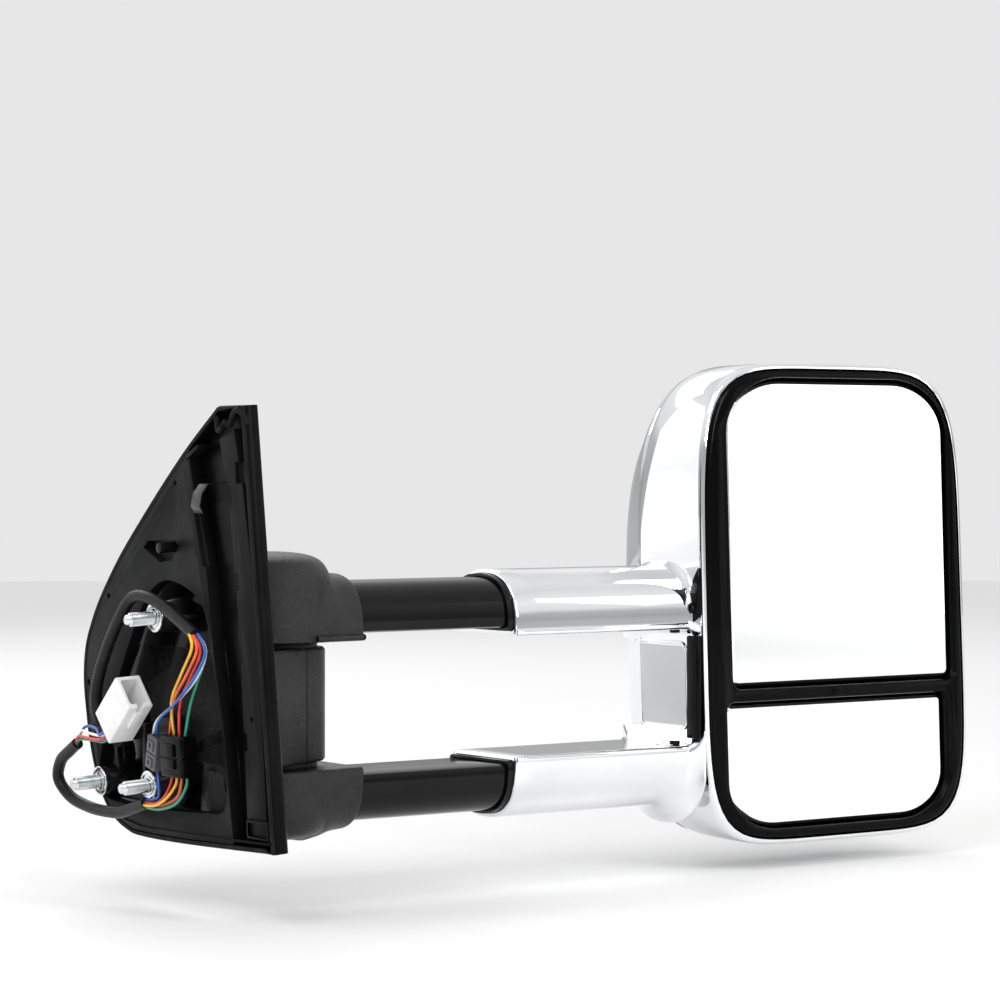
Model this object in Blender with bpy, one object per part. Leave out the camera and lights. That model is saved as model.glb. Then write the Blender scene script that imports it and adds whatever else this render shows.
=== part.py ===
"""Extendable towing mirror for the right-hand door of a vehicle, in metres, +Z up.

+X points away from the door and the mirror glass faces -Y. The origin is on the
bracket face that lies against the door.
"""

import math

import bmesh
import bpy
from mathutils import Matrix, Vector

for old in list(bpy.data.objects):
    bpy.data.objects.remove(old)

MM = 0.001
TUMBLE = math.radians(3.38)
GAP = 0.3

# Door plate, in its own upright frame (y, z) before the tumblehome turn.
PLATE_TOP = 127
PLATE_FOOT = -117
PLATE_REAR_TOP = -80
PLATE_REAR_FOOT = -88
PLATE_APEX = -52
PLATE_BELLY = (119, -30)
PLATE_FRONT_FOOT = (101, -105)
COVER_DEEP = 10.5
COVER_WALL = 2.5
STUDS = {"upper": (22, 8), "front": (97, -91), "rear": (39, -89)}
STUD_R = 4
STUD_OUT = 23
WASHER_OUT = -5.0
WASHER_IN = -2.2  # a door skin of 2 mm fits between the washers and the bracket face

# Fold pivot and the two arms.
PIVOT_X = 56
UPPER_FLAT = -6.5
LOWER_FLAT = -78.5
ELBOW_R = 37.5
COLLAR_X = 101
SHAFT_R = 12
TUBE_FROM = 84
TUBE_TO = 256
TUBE_HALF = 28.7
TUBE_LOW = 4.3
TUBE_TALL = 29.4
TUBE_WALL = 2.5
SLEEVE_FROM = 208
SLEEVE_TO = 354
SLEEVE_HALF = 33
SLEEVE_TALL = 38
SLEEVE_WALL = 2

# Head.
HEAD_X = 452.5
HEAD_Z = 7
HEAD_HALF_W = 109
HEAD_HALF_H = 150
HEAD_LEAN = -0.037
HEAD_TAPER = -0.009
SQUARE = 6
FACE_Y = -40
SHELL_WALL = 3
GLASS_Y = -36.5
TILT_Y = -24
UPPER_GLASS = (457, 51.5, 90.5, 94.5)
LOWER_GLASS = (456, -93, 89.5, 38)
LAMP = (516, 580, -60, 91)


def material(name, color, metallic=0.0, rough=0.5, alpha=1.0, transmission=0.0):
    made = bpy.data.materials.get(name)
    if made:
        return made
    made = bpy.data.materials.new(name)
    made.use_nodes = True
    shader = made.node_tree.nodes["Principled BSDF"]
    shader.inputs["Base Color"].default_value = (*color, 1)
    shader.inputs["Metallic"].default_value = metallic
    shader.inputs["Roughness"].default_value = rough
    shader.inputs["Alpha"].default_value = alpha
    shader.inputs["Transmission Weight"].default_value = transmission
    made.diffuse_color = (*color, 1)
    return made


CHROME = material("chrome", (0.85, 0.86, 0.88), 1.0, 0.06)
BLACK = material("black_grained_plastic", (0.018, 0.018, 0.02), 0.0, 0.5)
GLOSS = material("black_gloss_plastic", (0.012, 0.012, 0.014), 0.0, 0.2)
GREY = material("dark_grey_plastic", (0.06, 0.065, 0.07), 0.0, 0.55)
CAST = material("cast_black", (0.02, 0.02, 0.022), 0.1, 0.5)
STEEL = material("zinc_steel", (0.6, 0.6, 0.58), 1.0, 0.3)
RUBBER = material("seal_rubber", (0.02, 0.02, 0.02), 0.0, 0.75)
MIRROR = material("mirror_glass", (0.92, 0.93, 0.94), 1.0, 0.02)
AMBER = material("amber_lens", (0.95, 0.32, 0.03), 0.0, 0.12, 1.0, 0.5)
WHITE = material("white_nylon", (0.85, 0.85, 0.82), 0.0, 0.4)
BOARD = material("board_green", (0.05, 0.2, 0.09), 0.0, 0.5)
LOOM = material("loom_black", (0.02, 0.02, 0.022), 0.0, 0.6)
WIRE = material("wire_red", (0.7, 0.08, 0.05), 0.0, 0.4)


def finish(name, mesh, mat, smooth=True):
    """A closed body from a bmesh in millimetres, facing out."""
    bmesh.ops.remove_doubles(mesh, verts=mesh.verts, dist=1e-4)
    bmesh.ops.recalc_face_normals(mesh, faces=mesh.faces)
    data = bpy.data.meshes.new(name)
    for face in mesh.faces:
        face.smooth = smooth
    mesh.to_mesh(data)
    mesh.free()
    data.transform(Matrix.Scale(MM, 4))
    data.materials.append(mat)
    made = bpy.data.objects.new(name, data)
    bpy.context.scene.collection.objects.link(made)
    if smooth:
        for edge in data.edges:
            edge.use_edge_sharp = False
        bpy.context.view_layer.objects.active = made
        made.select_set(True)
        bpy.ops.object.shade_smooth_by_angle(angle=math.radians(35))
        made.select_set(False)
    return made


def loft(name, rings, mat, ring_closed=False):
    """Skin rings of equal length; the ends are capped unless the rings close on themselves."""
    mesh = bmesh.new()
    made = [[mesh.verts.new(p) for p in ring] for ring in rings]
    n = len(rings[0])
    pairs = list(zip(made[:-1], made[1:]))
    if ring_closed:
        pairs.append((made[-1], made[0]))
    for low, high in pairs:
        for i in range(n):
            j = (i + 1) % n
            mesh.faces.new((low[i], low[j], high[j], high[i]))
    if not ring_closed:
        mesh.faces.new(made[0][::-1])
        mesh.faces.new(made[-1])
    return finish(name, mesh, mat)


def prism_x(name, outline, x0, x1, mat, holes=()):
    """Extrude a (y, z) outline along X, with round holes (y, z, r)."""
    body = loft(name, [[(x, y, z) for y, z in outline] for x in (x0, x1)], mat)
    for i, (y, z, r) in enumerate(holes):
        body = cut(body, rod("cutter", (x0 - 2, y, z), (x1 + 2, y, z), r, mat, 24))
    return body


def box(name, low, high, mat, bevel=0.0):
    mesh = bmesh.new()
    bmesh.ops.create_cube(mesh, size=1)
    size = [high[k] - low[k] for k in range(3)]
    for vert in mesh.verts:
        vert.co = Vector((vert.co[k] * size[k] + (low[k] + high[k]) / 2) for k in range(3))
    if bevel:
        bmesh.ops.bevel(mesh, geom=mesh.edges[:], offset=bevel, segments=2, affect="EDGES", profile=0.5)
    return finish(name, mesh, mat)


def rod(name, start, end, r, mat, sides=24, inner=0.0):
    """A round bar between two points, or a ring when inner is given."""
    a, b = Vector(start), Vector(end)
    along = (b - a).normalized()
    across = along.orthogonal().normalized()
    other = along.cross(across)
    steps = [math.tau * i / sides for i in range(sides)]

    def ring(centre, radius):
        return [centre + radius * (math.cos(t) * across + math.sin(t) * other) for t in steps]

    if inner:
        return loft(name, [ring(a, r), ring(b, r), ring(b, inner), ring(a, inner)], mat, True)
    return loft(name, [ring(a, r), ring(b, r)], mat)


def turned(name, profile, x, y, mat, sides=48):
    """Turn a closed (radius, z) profile about the vertical axis through x, y."""
    steps = [math.tau * i / sides for i in range(sides)]
    rings = [[(x + r * math.cos(t), y + r * math.sin(t), z) for t in steps] for r, z in profile if r > 0]
    return loft(name, rings, mat)


def combine(body, other, operation):
    change = body.modifiers.new("change", "BOOLEAN")
    change.operation = operation
    change.solver = "EXACT"
    change.object = other
    bpy.context.view_layer.objects.active = body
    bpy.ops.object.modifier_apply(modifier=change.name)
    bpy.data.objects.remove(other)
    return body


def cut(body, other):
    return combine(body, other, "DIFFERENCE")


def join(body, other):
    return combine(body, other, "UNION")


def keep(body, other):
    return combine(body, other, "INTERSECT")


def with_tumblehome(body):
    body.data.transform(Matrix.Rotation(-TUMBLE, 4, "Y"))
    return body


def rounded(points, radii, steps=5):
    """Round the corners of a polygon."""
    made = []
    count = len(points)
    for i in range(count):
        here = Vector(points[i])
        back = (Vector(points[i - 1]) - here).normalized()
        ahead = (Vector(points[(i + 1) % count]) - here).normalized()
        half = math.acos(max(-1, min(1, back.dot(ahead)))) / 2
        reach = radii[i] / math.tan(half)
        centre = here + (back + ahead).normalized() * radii[i] / math.sin(half)
        start = here + back * reach - centre
        end = here + ahead * reach - centre
        turn = start.angle_signed(end)
        for k in range(steps + 1):
            t = -turn * k / steps
            cos_t, sin_t = math.cos(t), math.sin(t)
            made.append((centre.x + start.x * cos_t - start.y * sin_t, centre.y + start.x * sin_t + start.y * cos_t))
    return made


def plate_outline(inset, rear=0.0):
    """The door plate's outline (y, z), drawn in by inset, with its rear edge moved in by rear."""
    points = [
        (PLATE_REAR_TOP + inset + rear, PLATE_TOP - inset),
        (PLATE_REAR_FOOT + inset + rear, PLATE_FOOT + inset),
        (50, PLATE_FOOT + inset + 1),
        (PLATE_FRONT_FOOT[0] - inset * 0.4, PLATE_FRONT_FOOT[1] + inset),
        (PLATE_BELLY[0] - inset, PLATE_BELLY[1] - 38),
        (PLATE_BELLY[0] - inset, PLATE_BELLY[1]),
        (92 - inset * 0.9, 12 - inset * 0.4),
        (PLATE_APEX - inset * 0.35, PLATE_TOP - inset),
    ]
    radii = [3.0, 9.0, 14.0, 12.0, 14.0, 16.0, 30.0, 5.0]
    if rear:
        points[-1] = (max(points[-1][0], points[0][0] + 7), points[-1][1] - 12 - rear * 0.2)
        points[0] = (points[0][0], points[-1][1])
        radii[0] = radii[-1] = 3.0
    return rounded(points, [max(2.0, r - inset) for r in radii])


def arch(x, half, flat, tall, sense, count=28, soft=3.0, power=2.5):
    """One flat-sided arch section at x: flat at z = flat, crown at flat + sense * tall."""
    ring = []
    for i in range(count):
        t = math.pi * i / (count - 1)
        c, s = math.cos(t), math.sin(t)
        y = half * math.copysign(abs(c) ** (2 / power), c)
        z = soft + (tall - soft) * abs(s) ** (2 / power)
        ring.append((x, y, flat + sense * z))
    ring.append((x, -half + soft * 0.3, flat + sense * soft * 0.3))
    ring.append((x, -half + soft, flat))
    ring.append((x, half - soft, flat))
    ring.append((x, half - soft * 0.3, flat + sense * soft * 0.3))
    return ring


def head_ring(y, scale, grow=0.0, centre=None, count=48):
    """The head's outline at depth y; grow moves it in or out in millimetres."""
    cx, cz = centre or (HEAD_X, HEAD_Z)
    ring = []
    for i in range(count):
        t = math.tau * (i + 0.5) / count
        c, s = math.cos(t), math.sin(t)
        u = math.copysign(abs(c) ** (2 / SQUARE), c)
        v = math.copysign(abs(s) ** (2 / SQUARE), s)
        z = v * (HEAD_HALF_H * scale + grow)
        x = u * (HEAD_HALF_W * scale + grow + HEAD_TAPER * z)
        ring.append((cx + x + HEAD_LEAN * z, y, cz + z))
    return ring


def pane_ring(y, pane, grow=0.0, count=40, power=7):
    cx, cz, half_w, half_h = pane
    ring = []
    for i in range(count):
        t = math.tau * (i + 0.5) / count
        c, s = math.cos(t), math.sin(t)
        x = (half_w + grow) * math.copysign(abs(c) ** (2 / power), c)
        z = (half_h + grow) * math.copysign(abs(s) ** (2 / power), s)
        ring.append((cx + x + HEAD_LEAN * z, y, cz + z))
    return ring


def strand(name, route, r, mat, cyclic=False):
    curve = bpy.data.curves.new(name, "CURVE")
    curve.dimensions = "3D"
    curve.bevel_depth = r * MM
    curve.bevel_resolution = 2
    curve.use_fill_caps = True
    spline = curve.splines.new("POLY")
    spline.points.add(len(route) - 1)
    for point, place in zip(spline.points, route):
        point.co = (*(Vector(place) * MM), 1)
    curve.materials.append(mat)
    made = bpy.data.objects.new(name, curve)
    bpy.context.scene.collection.objects.link(made)
    return made


def flowing(points, each=4):
    """A smooth route through a few points."""
    route = []
    count = len(points)
    for i in range(count - 1):
        p = [Vector(points[max(0, min(count - 1, i + k))]) for k in (-1, 0, 1, 2)]
        for k in range(each):
            t = k / each
            route.append(
                0.5
                * (
                    2 * p[1]
                    + (p[2] - p[0]) * t
                    + (2 * p[0] - 5 * p[1] + 4 * p[2] - p[3]) * t * t
                    + (3 * p[1] - p[0] - 3 * p[2] + p[3]) * t**3
                )
            )
    route.append(Vector(points[-1]))
    return route


def on_plate(points):
    """Places given on the upright plate, turned with its tumblehome."""
    turn = Matrix.Rotation(-TUMBLE, 3, "Y")
    return [turn @ Vector(p) for p in points]


# Door plate: a shallow tray that opens towards the door, its seal and its brackets.
tray = loft(
    "sail_cover",
    [
        [(1.2, y, z) for y, z in plate_outline(0)],
        [(COVER_DEEP - 3, y, z) for y, z in plate_outline(0)],
        [(COVER_DEEP - 0.8, y, z) for y, z in plate_outline(1)],
        [(COVER_DEEP, y, z) for y, z in plate_outline(3)],
    ],
    BLACK,
)
tray = cut(tray, prism_x("hollow", plate_outline(3), -5, COVER_DEEP - COVER_WALL, BLACK))
with_tumblehome(tray)

seal = prism_x("rubber_seal", plate_outline(0.4), -0.1, 0.9, RUBBER)
seal = cut(seal, prism_x("hollow", plate_outline(2.8), -5, 5, RUBBER))
with_tumblehome(seal)

GROMMET = (79.5, -61)
panel = prism_x("mount_bracket", plate_outline(3.5, 23), 5.2, 7.7, GREY, [(*GROMMET, 6.5), (5, 48, 3.4)])
with_tumblehome(panel)

channel_line = [(-84.5, -113), (-63, -113), (-56.5, 108), (-76, 108)]
channel = prism_x("edge_channel", rounded(channel_line, [8, 3, 3, 3]), 2.2, 7.7, BLACK)
channel = cut(channel, box("slot", (0, -46 - 27, 84), (9, -65.5, 96), BLACK, 1))
with_tumblehome(channel)

cast_line = [(-24, 26), (-26, -100), (18, -120), (120, -120), (120, -60), (108, -60), (36, 26)]
cast = prism_x("cast_bracket", rounded(cast_line, [10, 8, 12, 2, 2, 4, 14]), 0, 4.9, CAST)
cast = keep(cast, prism_x("limit", plate_outline(3.8), -5, 9, CAST))
for y, z in STUDS.values():
    cast = cut(cast, rod("hole", (-3, y, z), (8, y, z), STUD_R + GAP, CAST))
cast = cut(cast, prism_x("window", rounded([(58, -92), (84, -90), (84, -67), (64, -66)], [5, 6, 6, 5]), -3, 9, CAST))
cast = cut(cast, rod("hole", (-3, *GROMMET), (9, *GROMMET), 9.6, CAST, 28))
cast = cut(cast, box("pocket", (-3, -12, 40), (9, 30, 60), CAST))
with_tumblehome(cast)

for name, (y, z) in STUDS.items():
    with_tumblehome(rod(f"stud_{name}", (-STUD_OUT, y, z), (4.8, y, z), STUD_R, STEEL, 20))
    with_tumblehome(rod(f"flange_washer_{name}", (WASHER_OUT, y, z), (WASHER_IN, y, z), 8.6, STEEL, 28, STUD_R + GAP))

with_tumblehome(rod("locating_pin", (-9, 5, 48), (7.6, 5, 48), 3, GREY, 20))
grommet = rod("cable_grommet", (-1.5, *GROMMET), (4.8, *GROMMET), 9.2, RUBBER, 28, 4.4)
grommet = join(grommet, rod("lip", (4.2, *GROMMET), (7.6, *GROMMET), 6.2, RUBBER, 28, 4.4))
with_tumblehome(grommet)

clip_route = [(1.9, -38, 84), (-3, -38, 84), (-6.5, -36.5, 79), (-6.8, -34, 72), (-4, -32.5, 68)]
clip_mesh = []
for x, y, z in clip_route:
    clip_mesh.append([(x, y - 4.5, z), (x, y + 4.5, z), (x + 0.9, y + 4.5, z - 0.5), (x + 0.9, y - 4.5, z - 0.5)])
clip = loft("spring_clip", [[(4.9, p[1], p[2]) for p in clip_mesh[0]]] + clip_mesh, STEEL)
with_tumblehome(clip)

# Fold pivot, fixed to the plate.
NOSE = (70, -3, 20)
steps = [math.radians(-65 + 115 * i / 16) for i in range(17)]
column_line = [(NOSE[0] + NOSE[2] * math.cos(t), NOSE[1] + NOSE[2] * math.sin(t)) for t in steps]
column_line += [(58, 32), (40, 44), (8, 80), (8, -54)]


def column_ring(z, draw):
    cx, cy = 46, -2
    return [(cx + (x - cx) * draw, cy + (y - cy) * draw, z) for x, y in column_line]


column = loft(
    "pivot_column",
    [column_ring(-75, 0.97), column_ring(-73.5, 1), column_ring(-11.5, 1), column_ring(-10, 0.97)],
    BLACK,
)
column = cut(column, with_tumblehome(box("plate_side", (-60, -150, -150), (COVER_DEEP + GAP, 150, 150), BLACK)))
column = cut(column, rod("bore", (PIVOT_X, 0, -90), (PIVOT_X, 0, 0), SHAFT_R + GAP, BLACK, 40))

rod("pivot_shaft", (PIVOT_X, 0, -104), (PIVOT_X, 0, 32), SHAFT_R, STEEL, 32, 8)
nut = rod("shaft_nut", (PIVOT_X, 0, 28.3), (PIVOT_X, 0, 31.8), 18.5, STEEL, 6)
cut(nut, rod("bore", (PIVOT_X, 0, 20), (PIVOT_X, 0, 40), SHAFT_R + GAP, STEEL, 40))
rod("bush_upper", (PIVOT_X, 0, -9.7), (PIVOT_X, 0, -6.8), 29, GREY, 40, SHAFT_R + GAP)
rod("bush_lower", (PIVOT_X, 0, -78.2), (PIVOT_X, 0, -75.3), 29, GREY, 40, SHAFT_R + GAP)


# Arms: each elbow turns about the shaft and holds one tube.
def arm(which, flat, sense, tall):
    def up(h):
        return flat + sense * h

    profile = [(ELBOW_R - 2, 0), (ELBOW_R, 2), (ELBOW_R, tall * 0.55), (ELBOW_R * 0.955, tall * 0.75)]
    profile += [(ELBOW_R * 0.84, tall * 0.89), (ELBOW_R * 0.6, tall * 0.97), (ELBOW_R * 0.3, tall)]
    elbow = turned(f"elbow_{which}", [(r, up(h)) for r, h in profile], PIVOT_X, 0, BLACK)
    sections = [
        arch(PIVOT_X + 4, ELBOW_R - 0.6, flat, tall - 1.2, sense),
        arch(PIVOT_X + 18, ELBOW_R - 1.6, flat, tall * 0.55 + 20.5, sense),
        arch(PIVOT_X + 33, SLEEVE_HALF + 0.6, flat, SLEEVE_TALL + 1.2, sense),
        arch(COLLAR_X - 1.5, SLEEVE_HALF + 0.3, flat, SLEEVE_TALL, sense),
        arch(COLLAR_X, SLEEVE_HALF - 1, up(1), SLEEVE_TALL - 2, sense),
    ]
    elbow = join(elbow, loft("collar", sections, BLACK))
    elbow = cut(elbow, rod("cavity", (PIVOT_X, 0, up(9)), (PIVOT_X, 0, up(tall - 4.5)), 21, BLACK, 40))
    elbow = cut(elbow, rod("bore", (PIVOT_X, 0, up(-6)), (PIVOT_X, 0, up(12)), SHAFT_R + GAP, BLACK, 40))
    room = [(TUBE_FROM - 0.5, 0), (COLLAR_X + 5, 0)]
    socket = [
        arch(x, TUBE_HALF + GAP, up(TUBE_LOW - GAP), TUBE_TALL + 2 * GAP, sense)
        for x, _ in room
    ]
    elbow = cut(elbow, loft("socket", socket, BLACK))

    ends = (TUBE_FROM, TUBE_TO)
    outer = [arch(x, TUBE_HALF, up(TUBE_LOW), TUBE_TALL, sense) for x in ends]
    inner = [
        arch(x, TUBE_HALF - TUBE_WALL, up(TUBE_LOW + TUBE_WALL), TUBE_TALL - 2 * TUBE_WALL, sense)
        for x in reversed(ends)
    ]
    loft(f"tube_{which}", outer + inner, GLOSS, True)
    stop = [
        arch(x, TUBE_HALF - 0.2, up(TUBE_LOW + 0.2), TUBE_TALL - 0.4, sense)
        for x in (TUBE_TO + GAP, TUBE_TO + 6)
    ]
    stop_plug = loft(f"tube_stop_{which}", stop, GREY)
    cut(stop_plug, rod("wire_way", (TUBE_TO - 5, 0, up(19)), (TUBE_TO + 9, 0, up(19)), 7, GREY))
    return elbow


arm("upper", UPPER_FLAT, 1, 51)
arm("lower", LOWER_FLAT, -1, 41)

coil = []
for i in range(4 * 14 + 1):
    t = math.tau * i / 14
    coil.append((PIVOT_X + 16.4 * math.cos(t), 16.4 * math.sin(t), 4.1 + 22.6 * i / 56))
strand("detent_spring", coil, 1.3, STEEL)


# Head: shell and its two sleeves, all chromed.
def sleeve_rings(flat, sense, grow, ends, tall_grow=0.0):
    return [arch(x, SLEEVE_HALF + grow, flat - sense * grow, SLEEVE_TALL + 2 * grow, sense) for x in ends]


DEPTHS = [(FACE_Y, 0.992), (FACE_Y + 2, 1.0), (5, 1.0), (30, 0.975), (45, 0.92), (54, 0.83), (59, 0.68), (62, 0.4)]


def head_solid(name, grow, deep_grow, first_y):
    rings = []
    for y, scale in DEPTHS:
        rings.append(head_ring(first_y if y == FACE_Y else y + deep_grow * (y > 20), scale, grow))
    return loft(name, rings, CHROME)


shell = head_solid("head_shell", 0, 0, FACE_Y)
shell = cut(shell, head_solid("hollow", -SHELL_WALL, -SHELL_WALL, FACE_Y - 5))
for which, flat, sense in (("upper", UPPER_FLAT, 1), ("lower", LOWER_FLAT, -1)):
    shell = cut(shell, loft("way_in", sleeve_rings(flat, sense, GAP, (SLEEVE_FROM, 360)), CHROME))
    outer = sleeve_rings(flat, sense, 0, (SLEEVE_FROM, SLEEVE_TO))
    inner = sleeve_rings(flat, sense, -SLEEVE_WALL, (SLEEVE_TO, SLEEVE_FROM))
    loft(f"chrome_sleeve_{which}", outer + inner, CHROME, True)
lamp_box = box("lamp_window", (LAMP[0], 5, LAMP[2]), (LAMP[1], 70, LAMP[3]), CHROME, 6)
shell = cut(shell, lamp_box)

lens = keep(
    head_solid("lamp_lens", -0.2, -0.2, FACE_Y),
    box("lens_box", (LAMP[0] + GAP, 5 + GAP, LAMP[2] + GAP), (LAMP[1], 70, LAMP[3] - GAP), AMBER, 5.8),
)
lens = cut(lens, head_solid("lens_inside", -SHELL_WALL, -SHELL_WALL, FACE_Y - 5))
lens.data.materials.clear()
lens.data.materials.append(AMBER)

lamp_back = keep(
    head_solid("lamp_housing", -SHELL_WALL - GAP, -SHELL_WALL - GAP, FACE_Y),
    box("lamp_room", (LAMP[0] - 3, 1, LAMP[2] - 6), (LAMP[1], 70, LAMP[3] + 6), GREY),
)
lamp_back = cut(lamp_back, box("lamp_hollow", (LAMP[0] - 0.5, 6, LAMP[2] + 2), (LAMP[1], 80, LAMP[3] - 2), GREY))
lamp_back.data.materials.clear()
lamp_back.data.materials.append(GREY)

led_board = box("led_board", (LAMP[0] + 2, 6.3, LAMP[2] + 4), (545, 8, LAMP[3] - 4), BOARD)
for k in range(8):
    z = LAMP[2] + 16 + k * 17
    led_board = join(led_board, box("led", (527, 7, z - 2), (531, 10, z + 2), BOARD))

for which, flat, sense in (("upper", UPPER_FLAT, 1), ("lower", LOWER_FLAT, -1)):
    outer = sleeve_rings(flat, sense, -SLEEVE_WALL - GAP, (SLEEVE_FROM - 4, 342))
    inner = sleeve_rings(flat, sense, -SLEEVE_WALL - GAP - 1.5, (342, SLEEVE_FROM - 4))
    loft(f"sleeve_liner_{which}", outer + inner, GLOSS, True)
    low = flat - sense * (GAP + 2.6)
    rod(f"sleeve_screw_{which}", (336, -22, low), (336, -22, flat - sense * GAP), 3.2, CAST, 20)

# Frame strip beside the bezel, on the inboard wall between the sleeves.
box("frame_strip", (340.2, -39, -74), (343.6, -28, -11), GLOSS, 0.8)

# Structure inside the head.
frame = keep(
    head_solid("inner_frame", -SHELL_WALL - GAP, -SHELL_WALL - GAP, FACE_Y),
    box("slice", (358, 31, -200), (LAMP[0] - 4, 34, 200), GREY),
)
frame.data.materials.clear()
frame.data.materials.append(GREY)

UX, UZ = UPPER_GLASS[:2]
motor = box("actuator_housing", (UX - 52, -11, UZ - 42), (UX + 52, 30.7, UZ + 52), GREY, 4)
motor = cut(motor, rod("pan_hole", (UX + 46, -20, UZ), (UX + 46, 12, UZ), 4.6, GREY))
motor = cut(motor, rod("tilt_hole", (UX, -20, UZ + 43), (UX, 12, UZ + 43), 4.6, GREY))
for side in (-1, 1):
    z = UZ + side * 33.5
    motor = join(motor, box("lug", (UX - 4, TILT_Y - 2, z - 2.8), (UX + 4, -8, z + 2.8), GREY))
rod("gimbal_ring_upper", (UX, TILT_Y - 3, UZ), (UX, TILT_Y + 3, UZ), 30, GREY, 40, 22)
rod("pan_jackscrew", (UX + 46, -29.9, UZ), (UX + 46, 2, UZ), 4, WHITE, 20)
rod("tilt_jackscrew", (UX, -29.9, UZ + 43), (UX, 2, UZ + 43), 4, WHITE, 20)


def pane(which, place, lug_r, hub_r):
    cx, cz = place[:2]
    back = loft(f"glass_backing_{which}", [pane_ring(y, place, -0.6) for y in (-33.4, -30.9)], GREY)
    back = join(back, rod("hub", (cx, -31.5, cz), (cx, TILT_Y, cz), hub_r, GREY, 24))
    for side in (-1, 1):
        x = cx + side * lug_r
        back = join(back, box("lug", (x - 2.8, -32, cz - 4), (x + 2.8, TILT_Y + 3, cz + 4), GREY))
    loft(f"mirror_glass_{which}", [pane_ring(y, place) for y in (GLASS_Y, -33.7)], MIRROR)


pane("upper", UPPER_GLASS, 33.5, 12)

LX, LZ = LOWER_GLASS[:2]
support = box("lower_support", (LX - 26, -11, LZ - 26), (LX + 26, 30.7, LZ + 26), GREY, 3)
for side in (-1, 1):
    z = LZ + side * 21.5
    support = join(support, box("lug", (LX - 4, TILT_Y - 2, z - 2.5), (LX + 4, -8, z + 2.5), GREY))
rod("gimbal_ring_lower", (LX, TILT_Y - 3, LZ), (LX, TILT_Y + 3, LZ), 18.5, GREY, 36, 12)
pane("lower", LOWER_GLASS, 21.8, 6)

for i, (x, z) in enumerate(((UX - 40, UZ + 40), (UX + 40, UZ - 30))):
    rod(f"frame_screw_{i + 1}", (x, 34.3, z), (x, 37.5, z), 4, STEEL, 16)

# Bezel: one frame round both panes.
bezel = loft(
    "bezel",
    [head_ring(y, scale, -SHELL_WALL - GAP) for y, scale in ((-34, 1.0), (-39, 0.996), (FACE_Y - 1, 0.982))],
    GLOSS,
)
for place in (UPPER_GLASS, LOWER_GLASS):
    bezel = cut(bezel, loft("mouth", [pane_ring(y, place, 1.8) for y in (-60, -20)], GLOSS))

# Harness on the door side.
upper_way = [(3, 79.5, -61), (-6, 80, -60), (-12, 81.6, -48), (-13, 77, -31), (-14, 62, -11), (-15, 43, 8)]
upper_way += [(-15, 27, 20), (-14, 10, 20.5), (-13, -8, 14.5), (-13, -37.5, 1.5)]
strand("loom_upper", on_plate(flowing(upper_way, 5)), 3.5, LOOM)
wires_way = [(-13, -38.6, 0.6), (-13, -43, -7), (-13, -33, -21), (-13, -20, -36), (-13, -13, -54.5)]
strand("wires_upper", on_plate(flowing(wires_way, 5)), 2.2, WIRE)
plug_box = box("connector_black", (-20, -26, -79), (-6, 4, -55.5), BLACK, 1)
with_tumblehome(plug_box)
small = box("connector_small", (-15.7, 8, -76), (-8.5, 20, -57), GREY, 1)
with_tumblehome(small)
lower_wires = [(-13, -8, -79.4), (-13, -7.6, -82.5), (-13, -1, -89), (-12.5, 14, -95), (-12, 28, -97.4)]
strand("wires_lower", on_plate(flowing(lower_wires, 5)), 2.2, WIRE)
lower_way = [(-12, 29, -97.5), (-12, 44, -101.5), (-12, 61, -105.5), (-13, 80, -106), (-14, 96, -104.5)]
lower_way += [(-16, 112, -100), (-18, 122, -90), (-19, 116, -79), (-19, 104, -72), (-19, 94, -67)]
strand("loom_lower", on_plate(flowing(lower_way, 5)), 3.5, LOOM)
plug_wires = [(-19.5, 93.2, -66.6), (-21, 84, -61.5), (-22, 70, -61), (-22, 56, -61), (-22, 44.7, -54.6)]
strand("wires_plug", on_plate(flowing(plug_wires, 5)), 2.0, WIRE)
plug = box("plug_white", (-30, -11, -17), (-14, 11, 17), WHITE, 1.5)
plug.data.transform(Matrix.Translation(Vector((0, 31, -43)) * MM) @ Matrix.Rotation(math.radians(50), 4, "X"))
with_tumblehome(plug)

scene = bpy.context.scene
scene.unit_settings.system = "METRIC"
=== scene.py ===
import math

import bmesh
import bpy
from mathutils import Matrix, Vector


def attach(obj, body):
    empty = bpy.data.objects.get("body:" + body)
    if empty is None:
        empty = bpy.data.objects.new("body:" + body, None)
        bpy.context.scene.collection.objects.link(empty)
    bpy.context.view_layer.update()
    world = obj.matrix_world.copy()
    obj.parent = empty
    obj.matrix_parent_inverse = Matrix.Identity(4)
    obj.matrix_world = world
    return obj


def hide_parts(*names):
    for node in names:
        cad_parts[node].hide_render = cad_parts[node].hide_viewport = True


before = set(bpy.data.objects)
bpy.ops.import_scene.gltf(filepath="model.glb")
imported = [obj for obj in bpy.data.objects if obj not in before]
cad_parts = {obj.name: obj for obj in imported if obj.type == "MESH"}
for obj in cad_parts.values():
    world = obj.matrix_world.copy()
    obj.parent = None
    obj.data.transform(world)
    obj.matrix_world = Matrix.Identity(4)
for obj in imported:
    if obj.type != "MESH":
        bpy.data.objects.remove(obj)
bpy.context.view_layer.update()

mm = 0.001
tumblehome = math.radians(3.38)  # the door plate leans in at the top by this much
plateTurn = Matrix.Rotation(-tumblehome, 4, "Y")


# --- small tools used by every piece
def clearSelection():
    if bpy.context.mode != "OBJECT":
        bpy.ops.object.mode_set(mode="OBJECT")
    bpy.ops.object.select_all(action="DESELECT")


def pick(piece):
    clearSelection()
    piece.select_set(True)
    bpy.context.view_layer.objects.active = piece


def settle(piece):  # its place goes into its mesh
    pick(piece)
    bpy.ops.object.transform_apply(location=True, rotation=True, scale=True)
    return piece


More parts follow.
